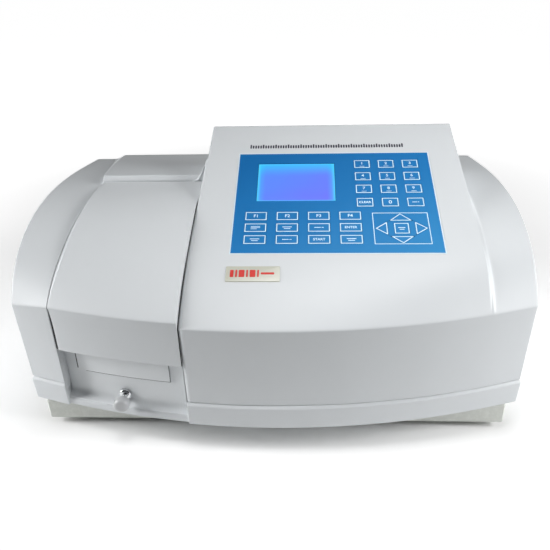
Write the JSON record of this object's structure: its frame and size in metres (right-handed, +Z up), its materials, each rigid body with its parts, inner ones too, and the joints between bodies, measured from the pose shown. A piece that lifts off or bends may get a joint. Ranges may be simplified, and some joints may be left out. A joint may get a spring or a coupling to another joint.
{
  "type": "spectrophotometer",
  "caption": "Bench double-beam spectrophotometer: bowed grey case with a hinged sample lid at left and a raised sloping keypad with a lit display.",
  "frame": {"origin": "bench level under the middle of the case's bounding box", "axes": "+X along the length to the operator's right, +Y to the back, +Z up"},
  "size_m": [0.6, 0.4276, 0.3107],
  "materials": {
    "case_grey": "light grey moulded plastic, satin",
    "base_grey": "grey powder coat",
    "rubber": "matt black",
    "chrome": "polished",
    "pale_plastic": "pale grey, satin gloss",
    "black_anodised": "matt black",
    "overlay_blue": "blue printed film with white legends",
    "key_blue": "blue printed film with a white outline",
    "screen": "lit blue display",
    "board_green": "green circuit board",
    "cast_metal": "cast, bead blasted",
    "mirror_metal": "front silvered",
    "lamp_glass": "clear",
    "sheet_steel": "plated sheet",
    "black_plastic": "black moulded plastic"
  },
  "bodies": {
    "case": {"upper_case": "case_grey", "lower_case": "case_grey", "base_tray": "base_grey", "sample_chamber": "case_grey", "reference_holder": "black_anodised", "keypad_overlay": "overlay_blue", "display_module": "screen", "control_board": "board_green", "detector_board": "board_green", "monochromator_housing": "cast_metal", "lamp_house": "sheet_steel", "tungsten_lamp": "lamp_glass", "deuterium_lamp": "lamp_glass", "power_supply": "sheet_steel", "rear_panel": "sheet_steel", "fan_frame": "black_plastic", "mains_inlet": "black_plastic", "foot_1": "rubber", "foot_2": "rubber", "foot_3": "rubber", "foot_4": "rubber"},
    "lid": {"sample_lid": "case_grey"},
    "cell_slide": {"pull_rod": "chrome", "pull_knob": "pale_plastic", "cell_carriage": "black_anodised"},
    "access_plate": {"access_plate": "case_grey"},
    "grating_table": {"grating_table": "cast_metal"},
    "source_mirror": {"source_mirror": "mirror_metal"},
    "filter_wheel": {"filter_wheel": "black_anodised"},
    "fan_rotor": {"fan_rotor": "black_plastic"},
    "power_switch": {"power_switch": "black_plastic"},
    "number_key_01": {"number_key_01": "key_blue"},
    "number_key_02": {"number_key_02": "key_blue"},
    "number_key_03": {"number_key_03": "key_blue"},
    "number_key_04": {"number_key_04": "key_blue"},
    "number_key_05": {"number_key_05": "key_blue"},
    "number_key_06": {"number_key_06": "key_blue"},
    "number_key_07": {"number_key_07": "key_blue"},
    "number_key_08": {"number_key_08": "key_blue"},
    "number_key_09": {"number_key_09": "key_blue"},
    "number_key_10": {"number_key_10": "key_blue"},
    "number_key_11": {"number_key_11": "key_blue"},
    "number_key_12": {"number_key_12": "key_blue"},
    "function_key_01": {"function_key_01": "key_blue"},
    "function_key_02": {"function_key_02": "key_blue"},
    "function_key_03": {"function_key_03": "key_blue"},
    "function_key_04": {"function_key_04": "key_blue"},
    "function_key_05": {"function_key_05": "key_blue"},
    "function_key_06": {"function_key_06": "key_blue"},
    "function_key_07": {"function_key_07": "key_blue"},
    "function_key_08": {"function_key_08": "key_blue"},
    "function_key_09": {"function_key_09": "key_blue"},
    "function_key_10": {"function_key_10": "key_blue"},
    "function_key_11": {"function_key_11": "key_blue"},
    "function_key_12": {"function_key_12": "key_blue"},
    "arrow_key_up": {"arrow_key_up": "key_blue"},
    "arrow_key_down": {"arrow_key_down": "key_blue"},
    "arrow_key_left": {"arrow_key_left": "key_blue"},
    "arrow_key_right": {"arrow_key_right": "key_blue"},
    "enter_key": {"enter_key": "key_blue"}
  },
  "joints": [
    {"name": "lid_hinge", "type": "hinge", "parent": "case", "child": "lid", "pos_m": [0, 0.026, 0.241], "axis": [-1, 0, 0], "range_deg": [0, 54]},
    {"name": "cell_slide", "type": "slide", "parent": "case", "child": "cell_slide", "axis": [0, -1, 0], "range_m": [0, 0.06]},
    {"name": "access_plate_pull", "type": "slide", "parent": "case", "child": "access_plate", "axis": [0, -1, 0], "range_m": [0, 0.025]},
    {"name": "power_switch_rock", "type": "hinge", "parent": "case", "child": "power_switch", "pos_m": [0.235, 0.2075, 0.16], "axis": [1, 0, 0], "range_deg": [0, 16]},
    {"name": "grating_turn", "type": "hinge", "parent": "case", "child": "grating_table", "pos_m": [0, -0.045, 0.07], "axis": [0, 0, 1], "range_deg": [-30, 30]},
    {"name": "source_mirror_turn", "type": "hinge", "parent": "case", "child": "source_mirror", "pos_m": [0.165, -0.045, 0.105], "axis": [0, 0, 1], "range_deg": [0, 90]},
    {"name": "filter_wheel_turn", "type": "hinge", "parent": "case", "child": "filter_wheel", "pos_m": [0.1175, -0.045, 0.083], "axis": [1, 0, 0], "continuous": true},
    {"name": "fan_spin", "type": "hinge", "parent": "case", "child": "fan_rotor", "pos_m": [0.135, 0.197, 0.14], "axis": [0, 1, 0], "continuous": true},
    {"name": "arrow_key_up_press", "type": "slide", "parent": "case", "child": "arrow_key_up", "axis": [0, 0.3772, -0.9261], "range_m": [0, 0.0004], "stiffness_N_per_m": 1000, "springref_m": -0.0001},
    {"name": "arrow_key_down_press", "type": "slide", "parent": "case", "child": "arrow_key_down", "axis": [0, 0.3772, -0.9261], "range_m": [0, 0.0004], "stiffness_N_per_m": 1000, "springref_m": -0.0001},
    {"name": "arrow_key_left_press", "type": "slide", "parent": "case", "child": "arrow_key_left", "axis": [0, 0.3772, -0.9261], "range_m": [0, 0.0004], "stiffness_N_per_m": 1000, "springref_m": -0.0001},
    {"name": "arrow_key_right_press", "type": "slide", "parent": "case", "child": "arrow_key_right", "axis": [0, 0.3772, -0.9261], "range_m": [0, 0.0004], "stiffness_N_per_m": 1000, "springref_m": -0.0001},
    {"name": "enter_key_press", "type": "slide", "parent": "case", "child": "enter_key", "axis": [0, 0.3772, -0.9261], "range_m": [0, 0.0004], "stiffness_N_per_m": 1000, "springref_m": -0.0001},
    {"name": "function_key_01_press", "type": "slide", "parent": "case", "child": "function_key_01", "axis": [0, 0.3772, -0.9261], "range_m": [0, 0.0004], "stiffness_N_per_m": 1000, "springref_m": -0.0001},
    {"name": "function_key_02_press", "type": "slide", "parent": "case", "child": "function_key_02", "axis": [0, 0.3772, -0.9261], "range_m": [0, 0.0004], "stiffness_N_per_m": 1000, "springref_m": -0.0001},
    {"name": "function_key_03_press", "type": "slide", "parent": "case", "child": "function_key_03", "axis": [0, 0.3772, -0.9261], "range_m": [0, 0.0004], "stiffness_N_per_m": 1000, "springref_m": -0.0001},
    {"name": "function_key_04_press", "type": "slide", "parent": "case", "child": "function_key_04", "axis": [0, 0.3772, -0.9261], "range_m": [0, 0.0004], "stiffness_N_per_m": 1000, "springref_m": -0.0001},
    {"name": "function_key_05_press", "type": "slide", "parent": "case", "child": "function_key_05", "axis": [0, 0.3772, -0.9261], "range_m": [0, 0.0004], "stiffness_N_per_m": 1000, "springref_m": -0.0001},
    {"name": "function_key_06_press", "type": "slide", "parent": "case", "child": "function_key_06", "axis": [0, 0.3772, -0.9261], "range_m": [0, 0.0004], "stiffness_N_per_m": 1000, "springref_m": -0.0001},
    {"name": "function_key_07_press", "type": "slide", "parent": "case", "child": "function_key_07", "axis": [0, 0.3772, -0.9261], "range_m": [0, 0.0004], "stiffness_N_per_m": 1000, "springref_m": -0.0001},
    {"name": "function_key_08_press", "type": "slide", "parent": "case", "child": "function_key_08", "axis": [0, 0.3772, -0.9261], "range_m": [0, 0.0004], "stiffness_N_per_m": 1000, "springref_m": -0.0001},
    {"name": "function_key_09_press", "type": "slide", "parent": "case", "child": "function_key_09", "axis": [0, 0.3772, -0.9261], "range_m": [0, 0.0004], "stiffness_N_per_m": 1000, "springref_m": -0.0001},
    {"name": "function_key_10_press", "type": "slide", "parent": "case", "child": "function_key_10", "axis": [0, 0.3772, -0.9261], "range_m": [0, 0.0004], "stiffness_N_per_m": 1000, "springref_m": -0.0001},
    {"name": "function_key_11_press", "type": "slide", "parent": "case", "child": "function_key_11", "axis": [0, 0.3772, -0.9261], "range_m": [0, 0.0004], "stiffness_N_per_m": 1000, "springref_m": -0.0001},
    {"name": "function_key_12_press", "type": "slide", "parent": "case", "child": "function_key_12", "axis": [0, 0.3772, -0.9261], "range_m": [0, 0.0004], "stiffness_N_per_m": 1000, "springref_m": -0.0001},
    {"name": "number_key_01_press", "type": "slide", "parent": "case", "child": "number_key_01", "axis": [0, 0.3772, -0.9261], "range_m": [0, 0.0004], "stiffness_N_per_m": 1000, "springref_m": -0.0001},
    {"name": "number_key_02_press", "type": "slide", "parent": "case", "child": "number_key_02", "axis": [0, 0.3772, -0.9261], "range_m": [0, 0.0004], "stiffness_N_per_m": 1000, "springref_m": -0.0001},
    {"name": "number_key_03_press", "type": "slide", "parent": "case", "child": "number_key_03", "axis": [0, 0.3772, -0.9261], "range_m": [0, 0.0004], "stiffness_N_per_m": 1000, "springref_m": -0.0001},
    {"name": "number_key_04_press", "type": "slide", "parent": "case", "child": "number_key_04", "axis": [0, 0.3772, -0.9261], "range_m": [0, 0.0004], "stiffness_N_per_m": 1000, "springref_m": -0.0001},
    {"name": "number_key_05_press", "type": "slide", "parent": "case", "child": "number_key_05", "axis": [0, 0.3772, -0.9261], "range_m": [0, 0.0004], "stiffness_N_per_m": 1000, "springref_m": -0.0001},
    {"name": "number_key_06_press", "type": "slide", "parent": "case", "child": "number_key_06", "axis": [0, 0.3772, -0.9261], "range_m": [0, 0.0004], "stiffness_N_per_m": 1000, "springref_m": -0.0001},
    {"name": "number_key_07_press", "type": "slide", "parent": "case", "child": "number_key_07", "axis": [0, 0.3772, -0.9261], "range_m": [0, 0.0004], "stiffness_N_per_m": 1000, "springref_m": -0.0001},
    {"name": "number_key_08_press", "type": "slide", "parent": "case", "child": "number_key_08", "axis": [0, 0.3772, -0.9261], "range_m": [0, 0.0004], "stiffness_N_per_m": 1000, "springref_m": -0.0001},
    {"name": "number_key_09_press", "type": "slide", "parent": "case", "child": "number_key_09", "axis": [0, 0.3772, -0.9261], "range_m": [0, 0.0004], "stiffness_N_per_m": 1000, "springref_m": -0.0001},
    {"name": "number_key_10_press", "type": "slide", "parent": "case", "child": "number_key_10", "axis": [0, 0.3772, -0.9261], "range_m": [0, 0.0004], "stiffness_N_per_m": 1000, "springref_m": -0.0001},
    {"name": "number_key_11_press", "type": "slide", "parent": "case", "child": "number_key_11", "axis": [0, 0.3772, -0.9261], "range_m": [0, 0.0004], "stiffness_N_per_m": 1000, "springref_m": -0.0001},
    {"name": "number_key_12_press", "type": "slide", "parent": "case", "child": "number_key_12", "axis": [0, 0.3772, -0.9261], "range_m": [0, 0.0004], "stiffness_N_per_m": 1000, "springref_m": -0.0001}
  ]
}
